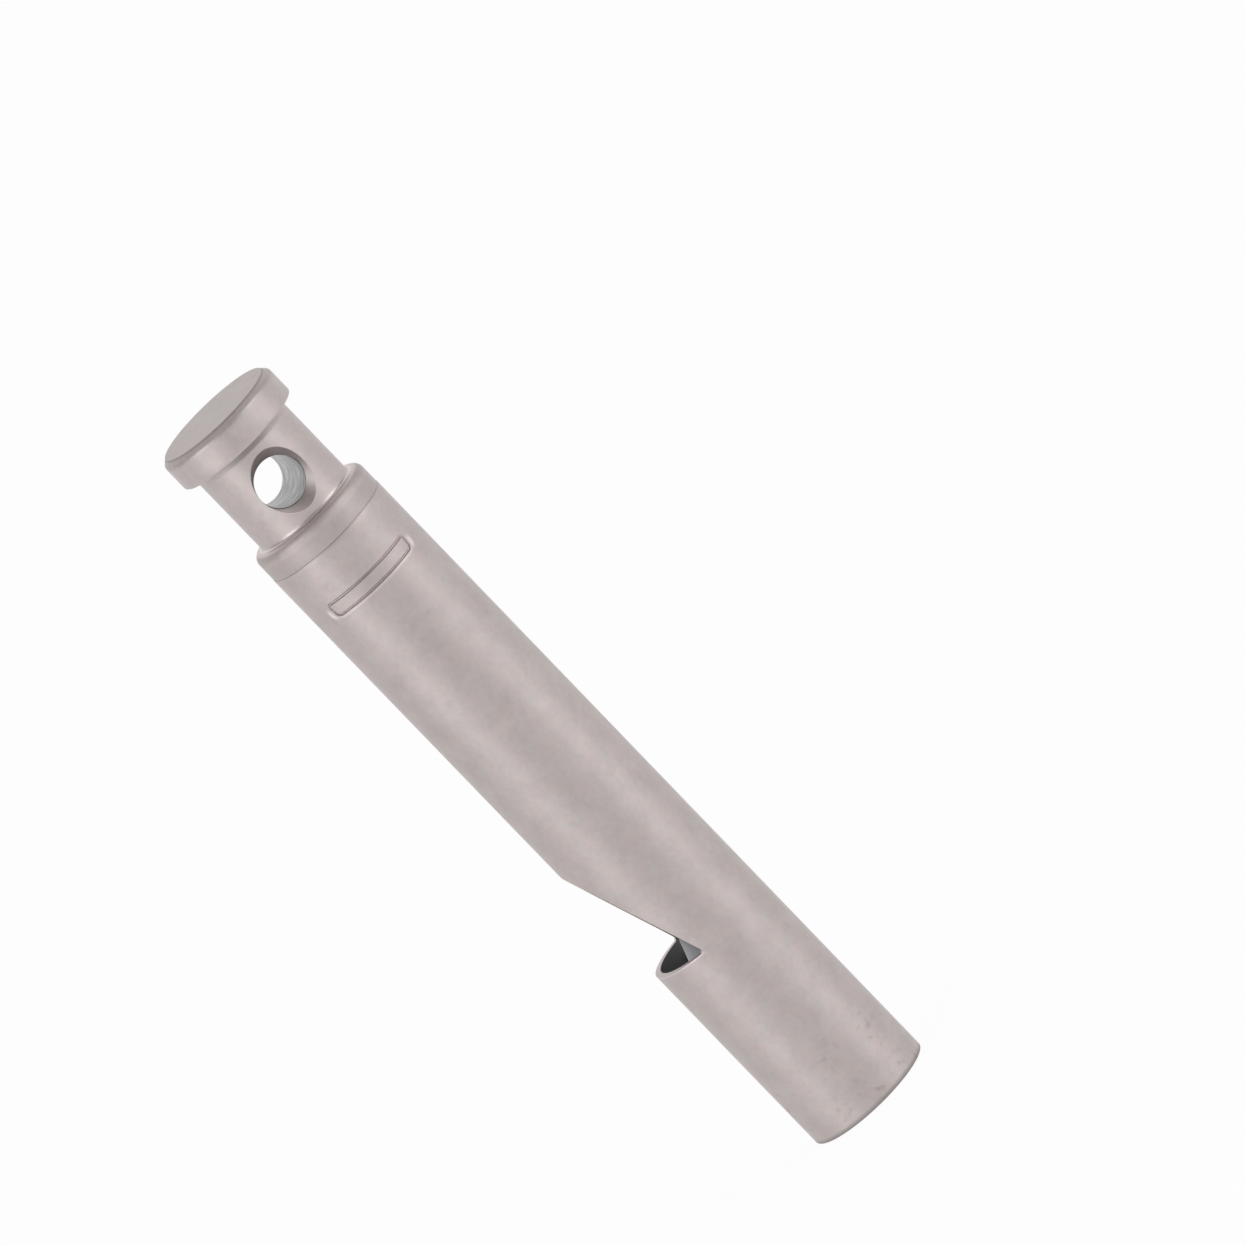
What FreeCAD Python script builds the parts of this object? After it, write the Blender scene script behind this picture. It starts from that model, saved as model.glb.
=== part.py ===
import FreeCAD, Part
import math
import os

# A pocket survival whistle in bead-blasted titanium, in millimetres. It stands on its mouth end.
# +Z runs up the axis to the head, the window faces -X, and the origin is the centre of the
# mouth end. A turn is an angle about the axis in degrees, anticlockwise from above.

# The drawn tube and its window
tube_diameter = 10.0
tube_wall = 0.5
tube_length = 55.85
mouth_edge = 0.12
joint_edge = 0.05
window_depth = 3.26
window_corner = 0.2
window_turn = 0.75
ramp_length = 9.8
ramp_start_radius = 3.0
ramp_start_margin = 0.02

# The blank frame engraved in the tube
frame_below_joint = 3.83
frame_height = 1.07
frame_arc = 7.75
frame_line = 0.24
frame_depth = 0.12
frame_low_corner = 0.4
frame_high_corner = 0.2
frame_turn = -3.7

# The fipple block in the mouth end
block_length = 16.6
windway_height = 2.16
block_turn = -8.4

# The turned head
band_height = 2.05
band_step = 0.03
shoulder_radius = 0.6
neck_length = 6.9
neck_recess = 0.925
cove_radius = 0.4
flange_thickness = 2.5
flange_low_edge = 0.15
cap_chamfer = 0.45
cap_rounding = 0.4
root_radius = 0.12
spigot_length = 4.0
spigot_edge = 0.3

# The cross hole for a lanyard
hole_diameter = 3.7
countersink_diameter = 5.12
hole_below_middle = 0.13
hole_offset = 0.45
hole_turn = 5.2

# The clearance all round where a piece sits in the bore
bore_clearance = 0.01

# Radii and heights worked out from the sizes above
tube_radius = tube_diameter / 2
bore_radius = tube_radius - tube_wall
plug_radius = bore_radius - bore_clearance
band_radius = tube_radius - band_step
neck_radius = tube_radius - neck_recess
band_top = tube_length + band_height
neck_top = band_top + neck_length
head_top = neck_top + flange_thickness
over = tube_radius

CENTRE = FreeCAD.Vector(0, 0, 0)
UP = FreeCAD.Vector(0, 0, 1)


def outline(corners):
    """A closed face in the XZ plane through (x, z, radius) corners, each rounded by its radius."""
    points = [FreeCAD.Vector(x, 0, z) for x, z, radius in corners]
    turns = []
    for index, here in enumerate(points):
        radius = corners[index][2]
        before = (points[index - 1] - here).normalize()
        after = (points[(index + 1) % len(points)] - here).normalize()
        half_angle = before.getAngle(after) / 2
        reach = radius / math.tan(half_angle)
        sagitta = radius / math.sin(half_angle) - radius
        middle = here + (before + after).normalize() * sagitta
        turns.append((here + before * reach, middle, here + after * reach, radius))
    edges = []
    for index, (start, middle, end, radius) in enumerate(turns):
        if radius > 0:
            edges.append(Part.Arc(start, middle, end).toShape())
        edges.append(Part.makeLine(end, turns[(index + 1) % len(turns)][0]))
    return Part.Face(Part.Wire(edges))


def turned(corners):
    """A solid turned about the axis from a rounded outline."""
    return outline(corners).revolve(CENTRE, UP, 360)


def frame_pad(margin):
    """A curved pad over the engraved frame, grown by margin past the middle of its line."""
    half_height = frame_height / 2 + margin
    middle = tube_length - frame_below_joint
    sweep = math.degrees((frame_arc + 2 * margin) / tube_radius)
    floor = tube_radius - frame_depth
    section = outline([
        (floor, middle - half_height, 0),
        (floor + tube_wall, middle - half_height, 0),
        (floor + tube_wall, middle + half_height, 0),
        (floor, middle + half_height, 0),
    ])
    pad = section.revolve(CENTRE, UP, sweep)
    pad.rotate(CENTRE, UP, frame_turn - 90 - sweep / 2)
    for corner, level in ((frame_low_corner, "low"), (frame_high_corner, "high")):
        height = middle - half_height if level == "low" else middle + half_height
        pad = pad.makeFillet(corner + margin, radial_edges(pad, height))
    return pad


def radial_edges(solid, height):
    """The straight edges at one height that point away from the axis."""
    found = []
    for edge in solid.Edges:
        ends = [vertex.Point for vertex in edge.Vertexes]
        level = all(abs(point.z - height) < frame_line / 4 for point in ends)
        if isinstance(edge.Curve, Part.Line) and level:
            found.append(edge)
    return found


def make_tube():
    """The drawn tube, with its window sawn and its frame engraved."""
    tube = turned([
        (bore_radius, 0, 0),
        (tube_radius, 0, mouth_edge),
        (tube_radius, tube_length, joint_edge),
        (bore_radius, tube_length, 0),
    ])
    slope = ramp_length / window_depth
    start_x = -tube_radius - ramp_start_margin
    start_z = block_length + ramp_length + ramp_start_margin * slope
    window = outline([
        (-tube_radius + window_depth, block_length, window_corner),
        (start_x, start_z, ramp_start_radius),
        (start_x, start_z + over, 0),
        (start_x - over, start_z + over, 0),
        (start_x - over, block_length, 0),
    ])
    window.translate(FreeCAD.Vector(0, -over, 0))
    window = window.extrude(FreeCAD.Vector(0, 2 * over, 0))
    window.rotate(CENTRE, UP, window_turn)
    tube = tube.cut(window)
    engraving = frame_pad(frame_line / 2).cut(frame_pad(-frame_line / 2))
    return tube.cut(engraving)


def make_fipple_block():
    """The plug in the mouth end, flat on the side that leaves the windway open."""
    block = Part.makeCylinder(plug_radius, block_length)
    flat_x = -bore_radius + windway_height
    corner = FreeCAD.Vector(flat_x - 2 * over, -over, -over)
    windway = Part.makeBox(2 * over, 2 * over, block_length + 2 * over, corner)
    block = block.cut(windway)
    block.rotate(CENTRE, UP, block_turn)
    return block


def cross_hole():
    """The cutter of the lanyard hole, with a countersink at both ends."""
    reach = math.sqrt(neck_radius ** 2 - hole_offset ** 2)
    hole_radius = hole_diameter / 2
    sink_radius = countersink_diameter / 2
    sink_depth = sink_radius - hole_radius
    cutter = Part.makeCylinder(hole_radius, 2 * over, FreeCAD.Vector(0, 0, -over), UP)
    for side in (-1, 1):
        base = FreeCAD.Vector(0, 0, side * (reach - sink_depth))
        flare = Part.makeCone(hole_radius, sink_radius + over, sink_depth + over, base, UP * side)
        cutter = cutter.fuse(flare)
    cutter.rotate(CENTRE, FreeCAD.Vector(1, 0, 0), 90)
    height = (band_top + neck_top) / 2 - hole_below_middle
    cutter.translate(FreeCAD.Vector(-hole_offset, 0, height))
    cutter.rotate(CENTRE, UP, hole_turn)
    return cutter


def make_head():
    """The head, turned in one piece: flange, neck, shoulder band and the spigot in the bore."""
    rim_radius = band_radius - shoulder_radius
    cove = min(cove_radius, 0.95 * (rim_radius - neck_radius))
    head = turned([
        (0, tube_length - spigot_length, 0),
        (plug_radius - spigot_edge, tube_length - spigot_length, 0),
        (plug_radius, tube_length - spigot_length + spigot_edge, 0),
        (plug_radius, tube_length, 0),
        (band_radius, tube_length, joint_edge),
        (band_radius, band_top, shoulder_radius),
        (neck_radius, band_top, cove),
        (neck_radius, neck_top, root_radius),
        (tube_radius, neck_top, flange_low_edge),
        (tube_radius, head_top - cap_chamfer, cap_rounding),
        (tube_radius - cap_chamfer, head_top, 0),
        (0, head_top, 0),
    ])
    return head.cut(cross_hole())


nodes = {
    "body_tube": make_tube(),
    "fipple_block": make_fipple_block(),
    "head_plug": make_head(),
}
os.makedirs("parts", exist_ok=True)
for name, shape in nodes.items():
    shape.exportStep(f"parts/{name}.step")
    print(name, shape.isValid(), len(shape.Solids), round(shape.Volume, 2), shape.BoundBox)
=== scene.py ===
import math

import bmesh
import bpy
import numpy as np
from mathutils import Matrix, Vector


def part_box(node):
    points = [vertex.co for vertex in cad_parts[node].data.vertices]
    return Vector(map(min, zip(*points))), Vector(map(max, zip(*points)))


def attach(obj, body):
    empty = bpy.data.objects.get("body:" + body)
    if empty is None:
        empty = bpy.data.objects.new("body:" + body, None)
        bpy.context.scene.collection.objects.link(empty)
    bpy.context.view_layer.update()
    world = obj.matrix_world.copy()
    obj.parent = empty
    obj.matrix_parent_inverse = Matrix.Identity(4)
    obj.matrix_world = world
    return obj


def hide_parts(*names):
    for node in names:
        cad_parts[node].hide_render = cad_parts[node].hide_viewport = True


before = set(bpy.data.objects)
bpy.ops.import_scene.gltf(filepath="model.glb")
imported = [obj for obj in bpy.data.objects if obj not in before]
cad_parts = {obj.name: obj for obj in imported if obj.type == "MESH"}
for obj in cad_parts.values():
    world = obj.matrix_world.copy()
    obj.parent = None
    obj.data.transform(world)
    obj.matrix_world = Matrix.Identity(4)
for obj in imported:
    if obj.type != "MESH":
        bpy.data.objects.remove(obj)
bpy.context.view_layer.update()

# Body tube
# A length of drawn titanium tube with a half-millimetre wall. The window is sawn in two cuts,
# one square to the axis and one slanted, a blank frame is engraved below the joint, and the
# tube is then bead-blasted, which leaves it matte and breaks its edges.
MM = 0.001
tube_radius = 5.0 * MM
bore_radius = 4.5 * MM
tube_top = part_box("body_tube")[1].z
window_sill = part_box("fipple_block")[1].z
window_depth = 3.26 * MM
window_corner = 0.2 * MM
window_turn = math.radians(0.75)
ramp_length = 9.8 * MM
ramp_start_radius = 3.0 * MM
ramp_start_margin = 0.02 * MM
steepness = math.atan(ramp_length / window_depth)
corner_start = window_depth - tube_radius - window_corner / math.tan(steepness / 2)
mouth_edge = 0.12 * MM
bore_edge = 0.06 * MM
joint_edge = 0.03 * MM
broken_edge = 0.045 * MM
merge_distance = 0.0002 * MM
column_counts = [22, 100, 220, 90, 44]
frame_margin = 0.4 * MM
frame_margin_turn = 0.16
frame_sizes = {
    "Turn": math.radians(86.3),
    "Middle height": tube_top - 3.83 * MM,
    "Arc": 7.75 * MM,
    "Lean": 0.12,
    "Height": 1.07 * MM,
    "Low corner": 0.34 * MM,
    "High corner": 0.2 * MM,
    "Line width": 0.23 * MM,
    "Line depth": 0.12 * MM,
    "Lip distance": 0.43 * MM,
    "Lip height": 0.015 * MM,
}
blasted_colour = (0.495, 0.442, 0.435)
warm_patch = (0.52, 0.44, 0.425, 1)
cool_patch = (0.46, 0.45, 0.44, 1)
pit_colour = (0.2, 0.16, 0.15, 1)
bare_colour = (0.48, 0.47, 0.47)


def tube_columns(radius):
    """Angles round the tube, from -X by way of -Y, closest together where the frame is."""
    corner = math.acos(-(corner_start + window_corner) / radius)
    reach = frame_sizes["Arc"] / tube_radius / 2 + frame_margin_turn
    stops = [0, frame_sizes["Turn"] - reach, corner, frame_sizes["Turn"] + reach]
    stops += [2 * math.pi - corner, 2 * math.pi]
    spans = zip(stops, stops[1:], column_counts)
    return np.concatenate([np.linspace(*span, endpoint=False) for span in spans])


def window_edges(x):
    """Heights of the sill and of the slanted cut above it, at places x across the tube."""
    slope = ramp_length / window_depth
    corner_x = window_depth - tube_radius
    start_x = -tube_radius - ramp_start_margin
    reach = ramp_start_radius * math.tan((math.pi / 2 - steepness) / 2)
    centre_x = start_x + ramp_start_radius
    centre_z = window_sill + (corner_x - start_x) * slope + reach
    straight = window_sill + np.maximum(corner_x - x, 0) * slope
    arc = centre_z - np.sqrt(np.maximum(ramp_start_radius ** 2 - (x - centre_x) ** 2, 0))
    cut = np.where(x < start_x + reach * math.cos(steepness), arc, straight)
    past_start = np.maximum(x - corner_start, 0)
    round_half = np.sqrt(np.maximum(window_corner ** 2 - past_start ** 2, 0))
    sill = window_sill + window_corner - round_half
    past_tangent = past_start > window_corner * math.sin(steepness)
    return sill, np.where(past_tangent, window_sill + window_corner + round_half, cut)


def ring(radius, height):
    """A row of points round the tube. The height may differ from column to column."""
    angles = tube_columns(radius)
    heights = np.broadcast_to(height, angles.shape)
    return np.stack([-radius * np.cos(angles), -radius * np.sin(angles), heights], axis=1)


def sill_ring(radius):
    """A row along the window's sill."""
    return ring(radius, window_edges(-radius * np.cos(tube_columns(radius)))[0])


def cut_ring(radius, above=0.0, share=0.0, height=0.0):
    """A row above the window's slanted cut, moved by a share of the way to a level height."""
    edge = window_edges(-radius * np.cos(tube_columns(radius)))[1] + above
    return ring(radius, edge + (height - edge) * share)


def broken_corner(radius, height, size, inward, upward):
    """Rows round an edge of the tube that is rounded by size."""
    rows = []
    for turn in np.linspace(0, math.pi / 2, 5):
        inset = inward * size * (1 - math.cos(turn))
        rows.append(ring(radius + inset, height + upward * size * (1 - math.sin(turn))))
    return rows


def skin(rows, columns):
    """Joins rows of points by a sheet of quads, from each of the columns to the next."""
    count = len(rows[0])
    base = sum(len(row) for row in tube_points)
    tube_points.extend(rows)
    for low in range(base, base + count * (len(rows) - 1), count):
        for column in columns:
            after = (column + 1) % count
            high = low + count
            tube_faces.append((low + column, low + after, high + after, high + column))


def close_up(mesh):
    """Merges doubled points, drops faces without area and turns the faces outwards."""
    work = bmesh.new()
    work.from_mesh(mesh)
    bmesh.ops.remove_doubles(work, verts=work.verts, dist=merge_distance)
    bmesh.ops.dissolve_degenerate(work, edges=work.edges, dist=merge_distance)
    bmesh.ops.recalc_face_normals(work, faces=work.faces)
    work.to_mesh(mesh)
    work.free()


def new_piece(name, points, faces, edges=()):
    """A new object from points, edges and faces."""
    mesh = bpy.data.meshes.new(name)
    mesh.from_pydata([tuple(point) for point in points], edges, faces)
    piece = bpy.data.objects.new(name, mesh)
    bpy.context.scene.collection.objects.link(piece)
    return piece


def make_plain(piece, crease=math.radians(24)):
    """Applies a piece's modifiers, and shades it smooth but for its creases."""
    bpy.context.view_layer.update()
    evaluated = piece.evaluated_get(bpy.context.evaluated_depsgraph_get())
    mesh = bpy.data.meshes.new_from_object(evaluated)
    piece.modifiers.clear()
    piece.data = mesh
    close_up(mesh)
    mesh.shade_smooth()
    mesh.set_sharp_from_angle(angle=crease)


tube_points = []
tube_faces = []
all_columns = range(sum(column_counts))
window_columns = [*all_columns[:sum(column_counts[:2])], *all_columns[-column_counts[-1]:]]
frame_low = frame_sizes["Middle height"] - frame_sizes["Height"] / 2 - frame_margin
frame_high = frame_sizes["Middle height"] + frame_sizes["Height"] / 2 + frame_margin
frame_rows = np.linspace(frame_low, frame_high, 70)
window_top = 30 * MM
plain_rows = np.linspace(window_top, frame_low, 8)[1:-1]
rim_row = 0.2 * MM
above_mouth = 0.4 * MM
below_sill = window_sill - 0.15 * MM

outside_low = broken_corner(bore_radius, 0, bore_edge, 1, 1)
outside_low += broken_corner(tube_radius, 0, mouth_edge, -1, 1)[::-1]
outside_low += [ring(tube_radius, height) for height in np.linspace(above_mouth, below_sill, 9)]
outside_low += [sill_ring(tube_radius)]
outside_high = [cut_ring(tube_radius), cut_ring(tube_radius, rim_row)]
outside_high += [cut_ring(tube_radius, rim_row, share, window_top) for share in (0.1, 0.3, 0.6, 1)]
outside_high += [ring(tube_radius, height) for height in (*plain_rows, *frame_rows)]
outside_high += [ring(tube_radius, tube_top - 0.5 * MM)]
outside_high += broken_corner(tube_radius, tube_top, joint_edge, -1, -1)
outside_high += [ring(bore_radius, tube_top)]
inside_low = [ring(bore_radius, height) for height in np.linspace(bore_edge, below_sill, 6)]
inside_low += [sill_ring(bore_radius)]
inside_high = [cut_ring(bore_radius), cut_ring(bore_radius, rim_row)]
inside_high += [cut_ring(bore_radius, rim_row, share, tube_top) for share in (0.05, 0.3, 0.6, 1)]
skin(outside_low, all_columns)
skin(outside_high, all_columns)
skin(inside_low, all_columns)
skin(inside_high, all_columns)
wall_radii = np.linspace(tube_radius, bore_radius, 8)
skin([sill_ring(radius) for radius in wall_radii], window_columns)
skin([cut_ring(radius) for radius in wall_radii], window_columns)
tube = new_piece("blasted_tube", np.concatenate(tube_points), tube_faces)
tube.data.transform(Matrix.Rotation(window_turn, 4, "Z"))
close_up(tube.data)

sharp = bmesh.new()
sharp.from_mesh(tube.data)
weight = sharp.edges.layers.float.new("bevel_weight_edge")
for edge in sharp.edges:
    in_window = all(window_sill - broken_edge < v.co.z < window_top for v in edge.verts)
    edge[weight] = float(in_window and edge.calc_face_angle(0) > math.radians(12))
sharp.to_mesh(tube.data)
sharp.free()
rim = tube.modifiers.new("broken rim", "BEVEL")
rim.limit_method = "WEIGHT"
rim.width = broken_edge
rim.segments = 3


class Wire:
    """An output of a node. Sums on wires add Math nodes to the wire's tree."""

    def __init__(self, tree, socket=None):
        self.tree = tree
        self.socket = socket

    def add(self, kind, settings=None, inputs=None, output=0):
        """Adds a node, makes its settings, then its inputs, and returns one of its outputs."""
        node = self.tree.nodes.new(kind)
        for name, value in (settings or {}).items():
            setattr(node, name, value)
        for name, value in (inputs or {}).items():
            if isinstance(value, Wire):
                self.tree.links.new(value.socket, node.inputs[name])
            else:
                node.inputs[name].default_value = value
        return Wire(self.tree, node.outputs[output] if node.outputs else None)

    def other(self, name):
        """Another output of the same node."""
        return Wire(self.tree, self.socket.node.outputs[name])

    def math(self, operation, *values):
        return self.add("ShaderNodeMath", {"operation": operation}, dict(enumerate(values)))

    def __add__(self, value):
        return self.math("ADD", self, value)

    def __sub__(self, value):
        return self.math("SUBTRACT", self, value)

    def __rsub__(self, value):
        return self.math("SUBTRACT", value, self)

    def __mul__(self, value):
        return self.math("MULTIPLY", self, value)

    def __truediv__(self, value):
        return self.math("DIVIDE", self, value)

    def __abs__(self):
        return self.math("ABSOLUTE", self)

    def __pow__(self, value):
        return self.math("POWER", self, value)

    __radd__ = __add__
    __rmul__ = __mul__

    def rise(self, start, end):
        """Nought up to start and one from end, with a soft rise between them."""
        settings = {"interpolation_type": "SMOOTHSTEP"}
        inputs = {"Value": self, "From Min": start, "From Max": end}
        return self.add("ShaderNodeMapRange", settings, inputs)

    def blend(self, first, second):
        """A colour that goes from the first to the second as this wire goes from nought to one."""
        inputs = {0: self, 6: first, 7: second}
        return self.add("ShaderNodeMix", {"data_type": "RGBA"}, inputs, output=2)


def sized_tree(name, sizes):
    """A new Geometry Nodes tree with a shape, named sizes as inputs, and a shape as output."""
    tree = bpy.data.node_groups.new(name, "GeometryNodeTree")
    tree.interface.new_socket("Shape", in_out="INPUT", socket_type="NodeSocketGeometry")
    for size in sizes:
        tree.interface.new_socket(size, in_out="INPUT", socket_type="NodeSocketFloat")
    tree.interface.new_socket("Shape", in_out="OUTPUT", socket_type="NodeSocketGeometry")
    return Wire(tree).add("NodeGroupInput")


def end_tree(shape, material):
    """Closes a tree with real geometry in one material."""
    shape = shape.add("GeometryNodeRealizeInstances", {}, {"Geometry": shape})
    shape = shape.add("GeometryNodeSetMaterial", {}, {"Geometry": shape, "Material": material})
    shape.add("NodeGroupOutput", {}, {"Shape": shape})


def fit_tree(piece, tree, sizes):
    """Puts a tree on a piece and sets its named sizes."""
    modifier = piece.modifiers.new(tree.name, "NODES")
    modifier.node_group = tree
    for item in tree.interface.items_tree:
        if item.in_out == "INPUT" and item.name in sizes:
            modifier[item.identifier] = sizes[item.name]


def noise(place, size, detail=2.0, seed=0.0):
    """Cloudy noise about a half, with spots of about the size."""
    inputs = {"Vector": place, "W": seed, "Scale": 1 / size, "Detail": detail}
    return place.add("ShaderNodeTexNoise", {"noise_dimensions": "4D"}, inputs)


def new_material(name):
    """An empty material, a wire to start its nodes from, and the place on the piece."""
    material = bpy.data.materials.new(name)
    material.use_nodes = True
    material.node_tree.nodes.clear()
    start = Wire(material.node_tree)
    return material, start.add("ShaderNodeTexCoord", output="Object")


def metal_surface(place, colour, roughness, relief, depth, strength=1.0):
    """Ends a material as bare metal with the relief, one being as high as the depth."""
    inputs = {"Height": relief, "Distance": depth, "Strength": strength}
    normal = place.add("ShaderNodeBump", {}, inputs)
    inputs = {"Base Color": colour, "Metallic": 1.0, "Roughness": roughness, "Normal": normal}
    surface = place.add("ShaderNodeBsdfPrincipled", {}, inputs)
    place.add("ShaderNodeOutputMaterial", {}, {"Surface": surface})


def tint(colour, share):
    """A colour made darker or paler by a share, for a colour socket."""
    return tuple(share * part for part in colour) + (1,)


def line_at(wire, middle, core, reach):
    """One on a line, as far as its core goes, and nought from its reach."""
    return 1 - abs(wire - middle).rise(core, reach)


def blasted_titanium(name, marks):
    """Bead-blasted titanium: satin peening with faint clouds and smudges.

    Marks takes the place, colour, roughness and relief, and gives back the last three with the
    piece's own marks and its painted light and shade.
    """
    material, place = new_material(name)
    peening = noise(place, 0.11 * MM, detail=3)
    mottle = noise(place, 0.4 * MM, detail=3, seed=1.5)
    clouds = noise(place, 1.6 * MM, detail=4, seed=3.0)
    smudges = noise(place, 1.6 * MM, detail=3, seed=5.0).rise(0.6, 0.85)
    tone = (clouds - 0.5) * 1.25 + (mottle - 0.5) * 1.1 + (peening - 0.5) * 0.5
    colour = (tone + 0.6).blend(tint(blasted_colour, 0.84), tint(blasted_colour, 1.1))
    warmth = noise(place, 0.9 * MM, detail=3, seed=8.0).rise(0.3, 0.7)
    colour = ((warmth - 0.2) * 0.5).blend(colour, warm_patch)
    colour = ((0.8 - warmth) * 0.3).blend(colour, cool_patch)
    colour = (smudges * 0.25).blend(colour, tint(blasted_colour, 0.55))
    roughness = 0.47 + (mottle - 0.5) * 0.1 + smudges * 0.05
    relief = peening + mottle * 1.5
    colour, roughness, relief = marks(place, colour, roughness, relief)
    metal_surface(place, colour, roughness, relief, 0.004 * MM)
    return material


def tube_marks_and_painted_light(place, colour, roughness, relief):
    """The tube's painted shade at the mouth edge and joint, engraving, pits, painted highlights on
    the engraving's lips, along the sill and on the bore past the cut, and bare bore.
    """
    apart = place.add("ShaderNodeSeparateXYZ", {}, {"Vector": place})
    height = apart.other("Z")
    axis_distance = (apart ** 2 + apart.other("Y") ** 2) ** 0.5
    # Painted shade: the mouth edge is darkened as the contact shadow where the tube stands on the
    # floor.
    edge = line_at(height, 0, 0.1 * MM, 0.45 * MM)
    colour = (edge * 0.55).blend(colour, tint(blasted_colour, 0.3))
    front_and_back = (apart.other("Y") / tube_radius) ** 4
    joint_shade = line_at(height, tube_top, 0.05 * MM, 0.16 * MM) * front_and_back
    colour = (joint_shade * 0.3).blend(colour, tint(blasted_colour, 0.5))
    engraved = place.add("ShaderNodeAttribute", {"attribute_name": "engraved"}, output="Fac")
    colour = (engraved * 0.85).blend(colour, tint(blasted_colour, 0.5))
    # Painted highlight: where the attribute is below nought, on the frame's lips, the colour is
    # made paler.
    colour = (engraved * -1).blend(colour, tint(blasted_colour, 1.5))
    spots = noise(place, 0.6 * MM, detail=1, seed=21.0).rise(0.56, 0.76)
    patches = noise(place, 2.4 * MM, detail=0, seed=12.0).rise(0.38, 0.6)
    pits = spots * patches * (1 - height.rise(4.5 * MM, 8.0 * MM))
    colour = (pits * 0.3).blend(colour, pit_colour)
    # Painted highlight: a pale band along the sill's edge on the window side.
    sill_edge_highlight = line_at(height, window_sill - 0.05 * MM, 0.03 * MM, 0.12 * MM)
    sill_edge_highlight = sill_edge_highlight * (1 - apart.rise(-2.0 * MM, -1.5 * MM))
    colour = (sill_edge_highlight * 0.8).blend(colour, tint(blasted_colour, 1.25))
    bare = 1 - axis_distance.rise(bore_radius + 0.01 * MM, bore_radius + 0.05 * MM)
    colour = bare.blend(colour, tint(bare_colour, 0.85))
    # Painted light: the bare bore just past the slanted cut, up to two millimetres above the sill,
    # is made far paler than the metal.
    past_cut = apart + tube_radius - window_depth
    past_cut = past_cut + (height - window_sill) * (window_depth / ramp_length)
    light_past_cut = bare * (1 - past_cut.rise(0.1 * MM, 0.4 * MM))
    light_past_cut = light_past_cut * height.rise(window_sill, window_sill + 2 * MM)
    colour = light_past_cut.blend(colour, tint(blasted_colour, 2.1))
    return colour, roughness + bare * 0.2, relief - pits


start = sized_tree("engraved frame", frame_sizes)
place = start.add("GeometryNodeInputPosition")
apart = start.add("ShaderNodeSeparateXYZ", {}, {"Vector": place})
angle = start.math("ARCTAN2", apart.other("Y") * -1, apart * -1)
across = abs((angle - start.other("Turn")) * tube_radius)
above = apart.other("Z") - start.other("Middle height")
upper = above.math("GREATER_THAN", above, 0)
corner = start.other("Low corner") * (1 - upper) + start.other("High corner") * upper
past_end = across - start.other("Arc") * 0.5 - above * start.other("Lean")
beyond_end = past_end + corner
beyond_side = abs(above) - start.other("Height") * 0.5 + corner
outer_part = start.math("MAXIMUM", beyond_end, 0) ** 2 + start.math("MAXIMUM", beyond_side, 0) ** 2
inner_part = start.math("MINIMUM", start.math("MAXIMUM", beyond_end, beyond_side), 0)
from_line = outer_part ** 0.5 + inner_part - corner
cut = line_at(from_line, 0, start.other("Line width") * 0.1, start.other("Line width") * 0.5)
# The end lips are raised a little, and they also take a painted highlight through the engraved
# attribute.
end_lip_and_highlight = line_at(from_line, start.other("Lip distance"), 0.05 * MM, 0.28 * MM)
end_lip_and_highlight = end_lip_and_highlight * past_end.rise(-0.25 * MM, 0.1 * MM)
end_lip_and_highlight = end_lip_and_highlight * line_at(above, -0.22 * MM, 0.15 * MM, 0.65 * MM)
below = start.other("Height") * -0.5 - above
# The low lip below the lower line is only a painted highlight; it does not move the surface.
low_lip_highlight = line_at(from_line, start.other("Line width") * 0.85, 0.02 * MM, 0.14 * MM)
low_lip_highlight = low_lip_highlight * below.rise(0, 0.1 * MM) * 0.45
lip_highlight = start.math("MAXIMUM", end_lip_and_highlight, low_lip_highlight)
radial = start.add("ShaderNodeCombineXYZ", {}, {"X": apart, "Y": apart.other("Y")})
axis_distance = (apart ** 2 + apart.other("Y") ** 2) ** 0.5
on_outside = start.math("GREATER_THAN", axis_distance, tube_radius - 0.01 * MM)
depth = end_lip_and_highlight * start.other("Lip height") - cut * start.other("Line depth")
push = depth * on_outside / tube_radius
offset = start.add("ShaderNodeVectorMath", {"operation": "SCALE"}, {0: radial, "Scale": push})
shape = start.add("GeometryNodeSetPosition", {}, {"Geometry": start, "Offset": offset})
# The engraved attribute is the groove less the lips: the material darkens the groove and paints
# the lips paler, as a highlight.
mark = {"Geometry": shape, "Name": "engraved", "Value": (cut - lip_highlight) * on_outside}
shape = start.add("GeometryNodeStoreNamedAttribute", {"domain": "POINT"}, mark)
tube_metal = blasted_titanium("blasted_titanium_tube", tube_marks_and_painted_light)
end_tree(shape, tube_metal)
fit_tree(tube, start.tree, frame_sizes)
make_plain(tube)
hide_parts("body_tube")
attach(tube, "root")

# Fipple block
# A plug sawn from titanium bar and pressed into the mouth end. Its flat side leaves the
# windway open to the window, and its end faces are left as machined.
plug_radius = 4.49 * MM
flat_distance = bore_radius - 2.16 * MM
flat_turn = math.radians(180 - 8.4)
block_edge = 0.06 * MM
round_points = 97
flat_points = 12
block_dark = (0.64, 0.64, 0.67, 1)
block_pale = (0.72, 0.72, 0.75, 1)


def block_section(inset, height):
    """The outline of the block at a height, drawn in by the inset, as a row of points."""
    radius = plug_radius - inset
    half = math.acos((flat_distance - inset) / radius)
    turns = flat_turn + np.linspace(half, 2 * math.pi - half, round_points)
    x, y = radius * np.cos(turns), radius * np.sin(turns)
    x = np.append(x, np.linspace(x[-1], x[0], flat_points + 2)[1:-1])
    y = np.append(y, np.linspace(y[-1], y[0], flat_points + 2)[1:-1])
    return np.stack([x, y, np.full(len(x), height)], axis=1)


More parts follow.
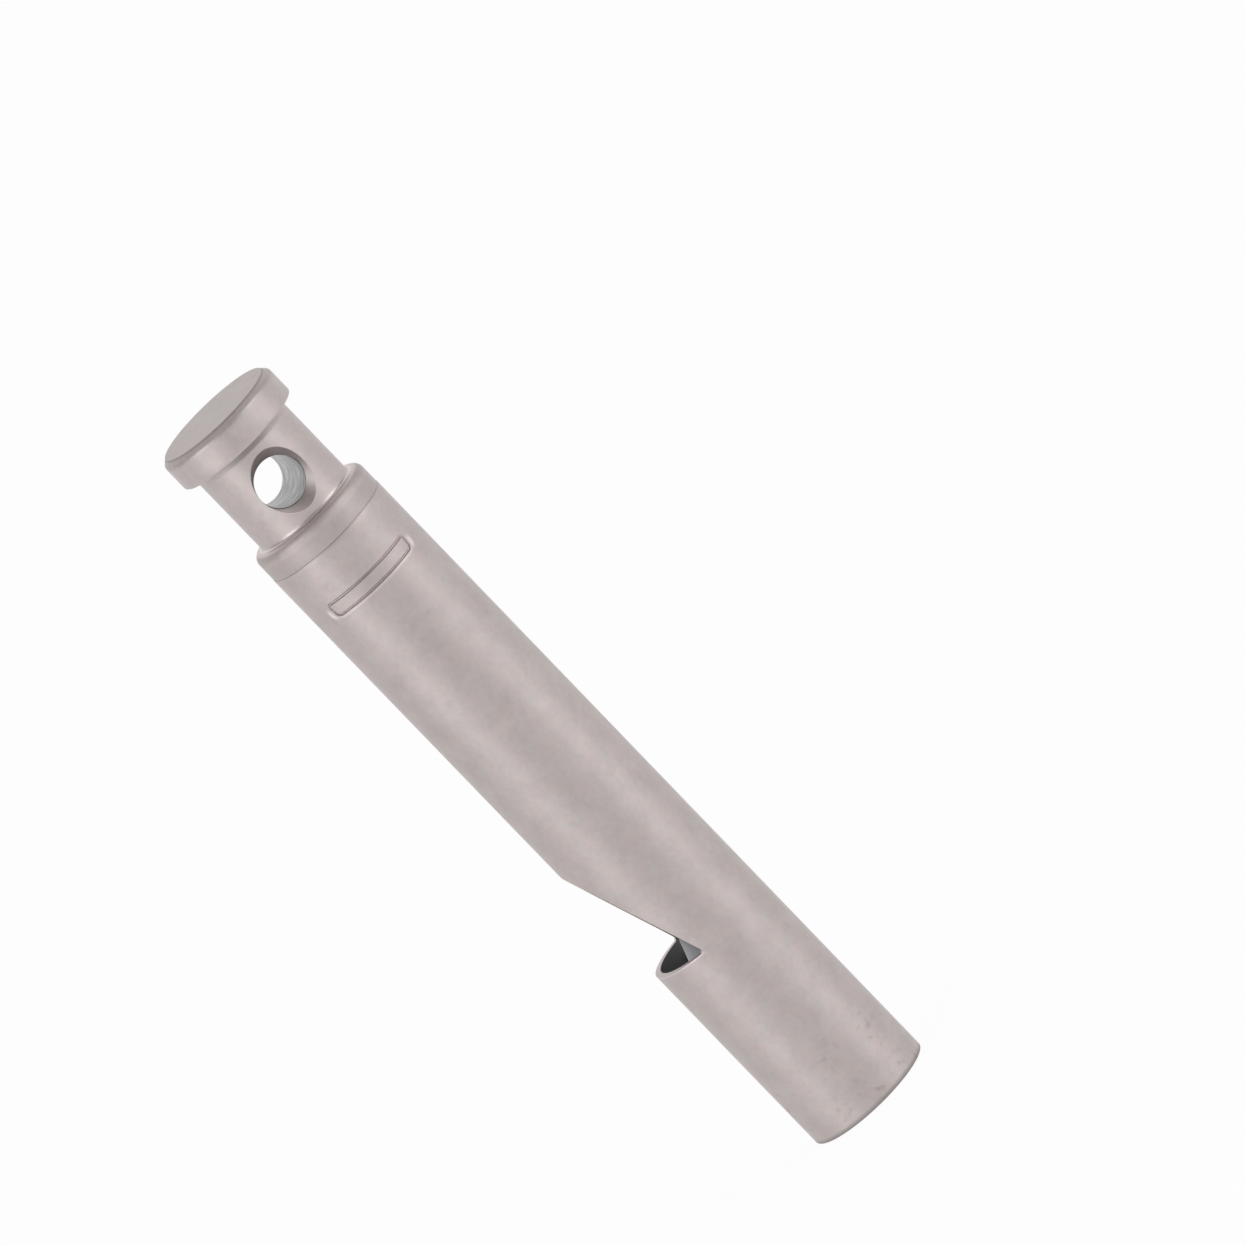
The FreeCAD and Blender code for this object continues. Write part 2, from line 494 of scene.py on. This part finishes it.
turns = np.linspace(0, math.pi / 2, 4)
edge_steps = [(block_edge * (1 - math.cos(t)), block_edge * (1 - math.sin(t))) for t in turns]
block_rows = [block_section(inset, rise) for inset, rise in reversed(edge_steps)]
block_rows += [block_section(0, window_sill * share) for share in (0.1, 0.3, 0.5, 0.7, 0.9)]
block_rows += [block_section(inset, window_sill - rise) for inset, rise in edge_steps]
count = len(block_rows[0])
top_row = count * (len(block_rows) - 1)
block_faces = [tuple(range(count))]
for low in range(0, top_row, count):
    for i in range(count):
        after = low + (i + 1) % count
        block_faces.append((low + i, after, after + count, low + count + i))
block_faces.append(tuple(range(top_row, top_row + count)))
block = new_piece("fipple_plug", np.concatenate(block_rows), block_faces)
close_up(block.data)

block_metal, place = new_material("bare_titanium_block")
along_cut = place.add("ShaderNodeMapping", {}, {"Vector": place, "Rotation": (0, 0, 1.2)})
along_cut = along_cut.add("ShaderNodeMapping", {}, {"Vector": along_cut, "Scale": (1, 14, 1)})
cutter_marks = noise(along_cut, 0.7 * MM, detail=3, seed=2.0)
clouds = noise(place, 1.2 * MM, detail=3, seed=4.0)
colour = clouds.blend(block_dark, block_pale)
roughness = 0.6 + (clouds - 0.5) * 0.14
metal_surface(place, colour, roughness, cutter_marks + clouds * 0.3, 0.006 * MM)
block.data.materials.append(block_metal)
make_plain(block)
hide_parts("fipple_block")
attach(block, "root")

# Head plug
# The head is turned in one piece from titanium bar: a flange, a neck, a shoulder band and a
# spigot that is pressed into the tube. The lanyard hole is drilled through the neck and
# countersunk at both ends, and the head is blasted with the tube.
head_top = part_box("head_plug")[1].z / MM
flange_low = head_top - 2.5
band_top = flange_low - 6.9
joint = tube_top / MM
spigot_low = joint - 4.0
spigot_radius = 4.49
spigot_edge = 0.3
band_radius = 4.97
neck_radius = 4.075
flange_radius = 5.0
cap_chamfer = 0.45
head_corners = [
    (0, spigot_low, 0),
    (spigot_radius - spigot_edge, spigot_low, 0),
    (spigot_radius, spigot_low + spigot_edge, 0),
    (spigot_radius, joint, 0),
    (band_radius, joint, 0.015),
    (band_radius, band_top, 0.6),
    (neck_radius, band_top, 0.28),
    (neck_radius, flange_low, 0.12),
    (flange_radius, flange_low, 0.15),
    (flange_radius, head_top - cap_chamfer, 0.4),
    (flange_radius - cap_chamfer, head_top, 0.03),
    (0, head_top, 0),
]
# A paler colour for the cove, as a painted highlight.
cove_highlight_colour = (0.54, 0.485, 0.475, 1)
hole_radius = 1.85
sink_radius = 2.56
hole_height = (band_top + flange_low) / 2 - 0.13
hole_offset = 0.45
hole_turn = math.radians(5.2)
sink_start = math.sqrt(neck_radius ** 2 - hole_offset ** 2) - (sink_radius - hole_radius)


def turned_profile(corners, longest):
    """Points along a profile of (radius, height, rounding) corners, at most longest apart."""
    points = [np.array(corners[0][:2], float)]
    for before, here, after in zip(corners, corners[1:], corners[2:] + [(0, 0, 0)]):
        corner = np.array(here[:2], float)
        rounding = here[2]
        arc = [corner]
        if rounding:
            towards = np.array(before[:2]) - corner
            away = np.array(after[:2]) - corner
            towards /= np.linalg.norm(towards)
            away /= np.linalg.norm(away)
            half = math.acos(np.clip(towards @ away, -1, 1)) / 2
            inwards = (towards + away) / np.linalg.norm(towards + away)
            middle = corner + inwards * rounding / math.sin(half)
            start = corner + towards * rounding / math.tan(half) - middle
            end = corner + away * rounding / math.tan(half) - middle
            sweep = math.pi - 2 * half
            arc = []
            for share in np.linspace(0, 1, 7):
                spoke = start * math.sin((1 - share) * sweep) + end * math.sin(share * sweep)
                arc.append(middle + spoke / math.sin(sweep))
        for point in arc:
            steps = max(1, math.ceil(np.linalg.norm(point - points[-1]) / longest))
            last = points[-1]
            points += [last + (point - last) * step / steps for step in range(1, steps + 1)]
    return points


def turned_piece(name, corners, longest, steps, material):
    """A piece turned about the axis from a profile, with its modifier applied."""
    points = [(radius * MM, 0, height * MM) for radius, height in turned_profile(corners, longest)]
    edges = [(i, i + 1) for i in range(len(points) - 1)]
    piece = new_piece(name, points, [], edges)
    piece.data.materials.append(material)
    fit_tree(piece, turning_tree(material), {"Steps": steps})
    make_plain(piece)
    return piece


def turning_tree(material):
    """Turns a profile about the axis in a number of steps, and closes its seam and its poles."""
    start = sized_tree("turned from a profile", ["Steps"])
    count = start.add("GeometryNodeAttributeDomainSize", {}, {"Geometry": start})
    inputs = {"Size X": 1.0, "Size Y": 1.0}
    inputs |= {"Vertices X": start.other("Steps") + 1, "Vertices Y": count}
    grid = start.add("GeometryNodeMeshGrid", {}, inputs)
    spot = start.add("GeometryNodeInputPosition")
    grid_spot = start.add("ShaderNodeSeparateXYZ", {}, {"Vector": spot})
    turn = (grid_spot + 0.5) * (2 * math.pi)
    number = (grid_spot.other("Y") + 0.5) * (count - 1) + 0.5
    inputs = {"Geometry": start, "Value": spot, "Index": number.math("FLOOR", number)}
    taken = start.add("GeometryNodeSampleIndex", {"data_type": "FLOAT_VECTOR"}, inputs)
    corner = start.add("ShaderNodeSeparateXYZ", {}, {"Vector": taken})
    x, y = corner * turn.math("COSINE", turn), corner * turn.math("SINE", turn)
    place = start.add("ShaderNodeCombineXYZ", {}, {"X": x, "Y": y, "Z": corner.other("Z")})
    shape = start.add("GeometryNodeSetPosition", {}, {"Geometry": grid, "Position": place})
    inputs = {"Geometry": shape, "Distance": merge_distance}
    shape = start.add("GeometryNodeMergeByDistance", {}, inputs)
    end_tree(shape, material)
    return start.tree


def head_marks_and_painted_light(place, colour, roughness, relief):
    """The head's smoother cove with a painted highlight, dull edges, darker band, painted shade at
    the cap's top edge and under the flange, painted light on the shoulder's edge and in the
    countersinks' lower left, painted shade in the countersinks, and bare hole.
    """
    apart = place.add("ShaderNodeSeparateXYZ", {}, {"Vector": place})
    height = apart.other("Z") / MM
    axis_distance = (apart ** 2 + apart.other("Y") ** 2) ** 0.5 / MM
    on_neck = 1 - axis_distance.rise(neck_radius + 0.35, neck_radius + 0.37)
    # The cove is smoother, as the blasting reaches the corner less, and it is painted paler as a
    # highlight.
    cove = on_neck * (1 - height.rise(band_top + 0.15, band_top + 0.4))
    cove = cove * height.rise(band_top, band_top + 0.02)
    colour = cove.blend(colour, cove_highlight_colour)
    roughness = roughness - cove * 0.04
    shoulder = 1 - abs(height - (band_top - 0.3)).rise(0.3, 0.5)
    roughness = roughness + shoulder * (1 - on_neck) * 0.14
    # The band below its rounded shoulder is made darker.
    band = (1 - height.rise(band_top - 1.0, band_top - 0.6)) * (1 - on_neck)
    colour = (band * 0.3).blend(colour, tint(blasted_colour, 0.65))
    cap_edge = height.rise(head_top - 0.8, head_top - 0.6)
    roughness = roughness + cap_edge * 0.08 - 0.04
    # Painted shade: a thin dark line along the top edge of the cap's chamfer.
    top_edge_shade = line_at(height, head_top - 0.08, 0.02, 0.075)
    colour = (top_edge_shade * 0.5).blend(colour, tint(blasted_colour, 0.5))
    # Painted light: a pale line round the shoulder's top edge, lightening the dark crease there.
    shoulder_crease_light = line_at(height, band_top, 0.04, 0.14)
    colour = (shoulder_crease_light * 0.8).blend(colour, tint(blasted_colour, 1.5))
    # Painted shade on the neck just under the flange, strongest on the front and back.
    front_and_back = (apart.other("Y") / MM / neck_radius) ** 4
    under_flange_shade = line_at(height, flange_low - 0.2, 0.2, 0.4) * on_neck * front_and_back
    colour = (under_flange_shade * 0.75).blend(colour, tint(blasted_colour, 0.4))

    inputs = {"Vector": place, **hole_place}
    along = place.add("ShaderNodeMapping", {"vector_type": "TEXTURE"}, inputs)
    apart = place.add("ShaderNodeSeparateXYZ", {}, {"Vector": along})
    from_hole = (apart ** 2 + apart.other("Y") ** 2) ** 0.5 / MM
    past_sink = from_hole - abs(apart.other("Z") / MM) + (sink_start - hole_radius)
    in_sink = 1 - past_sink.rise(0.01, 0.05)
    upper = (apart.other("Y") / MM).rise(-2.2, 0.0)
    right = (apart / MM).rise(1.0, 2.3)
    # Painted shade in the countersinks, over their upper half and strongest on the right.
    colour = (in_sink * upper * (right * 0.45 + 0.33)).blend(colour, tint(blasted_colour, 0.4))
    # Painted light: the lower left of the countersinks is made paler.
    low_left_sink_light = ((apart + apart.other("Y")) * -0.7 / MM).rise(0.9, 2.3)
    colour = (in_sink * low_left_sink_light).blend(colour, tint(blasted_colour, 1.35))
    rings = place.add("ShaderNodeMapping", {}, {"Vector": along, "Scale": (1, 1, 9)})
    rings = noise(rings, 1.1 * MM, detail=3, seed=7.0).rise(0.35, 0.7)
    bare = 1 - from_hole.rise(hole_radius + 0.03, hole_radius + 0.07)
    colour = bare.blend(colour, rings.blend(tint(bare_colour, 0.5), tint(bare_colour, 1.3)))
    relief = relief * (1 - bare * 0.8) + rings * bare * 3
    return colour, roughness - bare * 0.08, relief


hole_middle = Vector((-hole_offset * MM, 0, hole_height * MM))
hole_place = {
    "Location": Matrix.Rotation(hole_turn, 3, "Z") @ hole_middle,
    "Rotation": (math.radians(90), 0, hole_turn),
}
head_metal = blasted_titanium("blasted_titanium_head", head_marks_and_painted_light)
head = turned_piece("turned_head", head_corners, 0.25, 256, head_metal)

drill_end = 5.5
flare = hole_radius + drill_end - sink_start
sink_rounding = 0.2
ring_step = 0.55
ring_depth = 0.015
ring_half = 0.07
drill_corners = [(0, -drill_end, 0), (flare, -drill_end, 0)]
drill_corners += [(hole_radius, -sink_start, sink_rounding)]
for middle in np.arange(-5 * ring_step, 5.1 * ring_step, ring_step):
    drill_corners += [(hole_radius, middle - ring_half, 0)]
    drill_corners += [(hole_radius + ring_depth, middle, 0)]
    drill_corners += [(hole_radius, middle + ring_half, 0)]
drill_corners += [(hole_radius, sink_start, sink_rounding)]
drill_corners += [(flare, drill_end, 0), (0, drill_end, 0)]
drill = turned_piece("drill", drill_corners, 0.5, 144, head_metal)
lie_down = Matrix.Rotation(math.radians(90), 4, "X")
move = Matrix.Translation(hole_middle)
drill.data.transform(Matrix.Rotation(hole_turn, 4, "Z") @ move @ lie_down)
drilled = head.modifiers.new("lanyard hole", "BOOLEAN")
drilled.operation = "DIFFERENCE"
drilled.solver = "EXACT"
drilled.object = drill
make_plain(head)
bpy.data.objects.remove(drill)
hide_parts("head_plug")
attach(head, "root")

# Studio
# A sweep of white paper that the whistle stands on and that rises behind it, in a dim room
# with a large soft lamp on each side.
camera_turn = math.radians(-4.453)
camera_rise = math.radians(11.668)


def direction(turn, rise):
    """The direction from the whistle to a place round it. A turn of 0 is -Y and 90 is +X."""
    level_part = math.cos(rise)
    return Vector((math.sin(turn) * level_part, -math.cos(turn) * level_part, math.sin(rise)))


paper_reach = 4.0
paper_height = 2.6
paper_drop = 0.02 * MM
bend_start = 1.5
bend_radius = 0.6
paper_line = [(-paper_reach, 0.0), (0.0, 0.0)]
for turn in np.linspace(0, math.pi / 2, 25):
    far = bend_start + bend_radius * math.sin(turn)
    paper_line.append((far, bend_radius - bend_radius * math.cos(turn)))
paper_line.append((bend_start + bend_radius, paper_height))
paper_points = []
for far, height in paper_line:
    for side in (-paper_reach, paper_reach):
        spot = direction(camera_turn, 0) * -far
        spot += direction(camera_turn + math.pi / 2, 0) * side
        paper_points.append(spot + Vector((0, 0, height - paper_drop)))
paper_faces = [(2 * i, 2 * i + 1, 2 * i + 3, 2 * i + 2) for i in range(len(paper_line) - 1)]
paper = new_piece("paper_sweep", paper_points, paper_faces)
paper.data.shade_smooth()
paper_white, place = new_material("white_paper")
seen = place.add("ShaderNodeLightPath", output="Is Camera Ray")
seen = seen + seen.other("Is Glossy Ray") + seen.other("Is Transmission Ray")
seen = seen.math("MINIMUM", seen, 1)
matt = place.add("ShaderNodeBsdfDiffuse", {}, {"Color": (0.9, 0.9, 0.9, 1)})
white = place.add("ShaderNodeEmission", {}, {"Color": (1, 1, 1, 1), "Strength": 1.0})
mixed = place.add("ShaderNodeMixShader", {}, {0: seen * 0.95, 1: matt, 2: white})
place.add("ShaderNodeOutputMaterial", {}, {"Surface": mixed})
paper_white.cycles.emission_sampling = "NONE"
paper.data.materials.append(paper_white)

room = bpy.data.worlds.new("studio room")
bpy.context.scene.world = room
room.use_nodes = True
room.node_tree.nodes.clear()
towards_sky = Wire(room.node_tree).add("ShaderNodeTexCoord", output="Generated")
upward = towards_sky.add("ShaderNodeSeparateXYZ", {}, {"Vector": towards_sky}).other("Z")
settings = {"operation": "DOT_PRODUCT"}
inputs = {0: towards_sky, 1: direction(camera_turn, 0) * -1}
away = towards_sky.add("ShaderNodeVectorMath", settings, inputs, output="Value")
walls = upward.rise(0.04, 0.15).blend((1.0, 1.0, 1.0, 1), (0.3, 0.3, 0.3, 1))
walls = upward.rise(0.6, 0.95).blend(walls, (0.5, 0.5, 0.5, 1))
behind = away.rise(0.0, 0.35) * upward.rise(0.55, 0.8)
walls = behind.blend(walls, (1.0, 1.0, 1.0, 1))
light = upward.add("ShaderNodeBackground", {}, {"Color": walls, "Strength": 1.0})
upward.add("ShaderNodeOutputWorld", {}, {"Surface": light})

middle = Vector((0, 0, 33.5 * MM))
lamp_distance = 2.0
lamp_rise = math.radians(20)
for turn in (-55, 60):
    softbox = bpy.data.lights.new("softbox", "AREA")
    softbox.shape = "RECTANGLE"
    softbox.size = 1.2
    softbox.size_y = 1.9
    softbox.energy = 15.5
    lamp = bpy.data.objects.new("softbox", softbox)
    bpy.context.scene.collection.objects.link(lamp)
    towards = direction(camera_turn + math.radians(turn), lamp_rise)
    lamp.location = middle + towards * lamp_distance
    lamp.rotation_euler = towards.to_track_quat("Z", "Y").to_euler()

# Camera
# A long lens a metre and a half away, a little above the whistle and rolled so that the
# whistle lies across the picture, with its mouth end low.
roll = math.radians(44 - 0.103)
camera_distance = 1.5
picture_width = 1245 / 14.333 * MM
aim_right = 10.467 * MM
aim_up = 2.942 * MM
right = Vector((math.cos(camera_turn), math.sin(camera_turn), 0))
back = direction(camera_turn, camera_rise)
up = back.cross(right)
picture_right = right * math.cos(roll) - up * math.sin(roll)
picture_up = right * math.sin(roll) + up * math.cos(roll)
lens_data = bpy.data.cameras.new("camera")
lens_data.sensor_width = 36
lens_data.lens = lens_data.sensor_width * camera_distance / picture_width
camera = bpy.data.objects.new("camera", lens_data)
bpy.context.scene.collection.objects.link(camera)
spot = middle + right * aim_right + up * aim_up + back * camera_distance
axes = Matrix((picture_right, picture_up, back)).transposed()
camera.matrix_world = Matrix.Translation(spot) @ axes.to_4x4()
bpy.context.scene.camera = camera
bpy.context.scene.view_settings.view_transform = "Standard"
